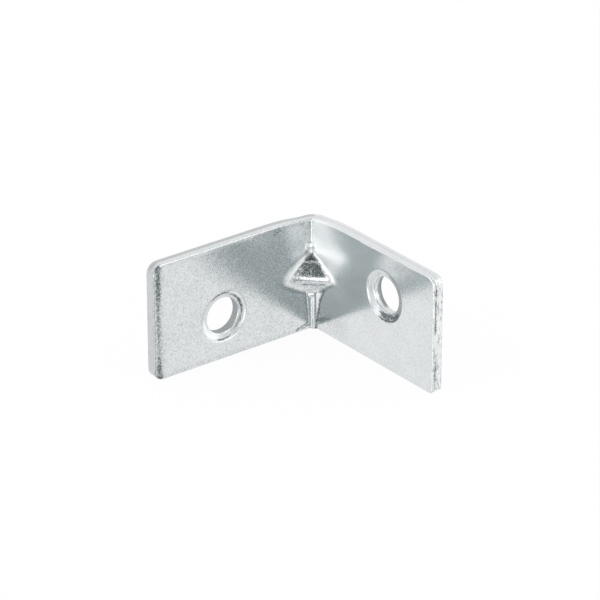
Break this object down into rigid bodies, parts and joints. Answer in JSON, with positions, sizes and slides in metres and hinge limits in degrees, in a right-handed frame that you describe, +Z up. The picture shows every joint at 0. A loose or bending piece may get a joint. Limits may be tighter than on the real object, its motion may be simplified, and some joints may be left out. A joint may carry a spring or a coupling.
{
  "type": "corner brace bracket",
  "caption": "Pressed steel corner brace: a strip folded square, with a countersunk screw hole in each leg and a stiffening dart pressed into the fold.",
  "frame": {"origin": "middle of the overall box, on the plane of the lower long edge that it stands on", "axes": "+Z up across the width of the strip; the leg with the raised hole runs along +X with its outer face towards +Y; the leg with the lowered hole runs along -Y with its outer face towards -X"},
  "size_m": [0.0244, 0.0256, 0.0153],
  "materials": {
    "zinc_plated_steel": "bright zinc plating over cold rolled sheet, with a fine rolled grain"
  },
  "bodies": {
    "root": {"bracket": "zinc_plated_steel"}
  },
  "joints": []
}
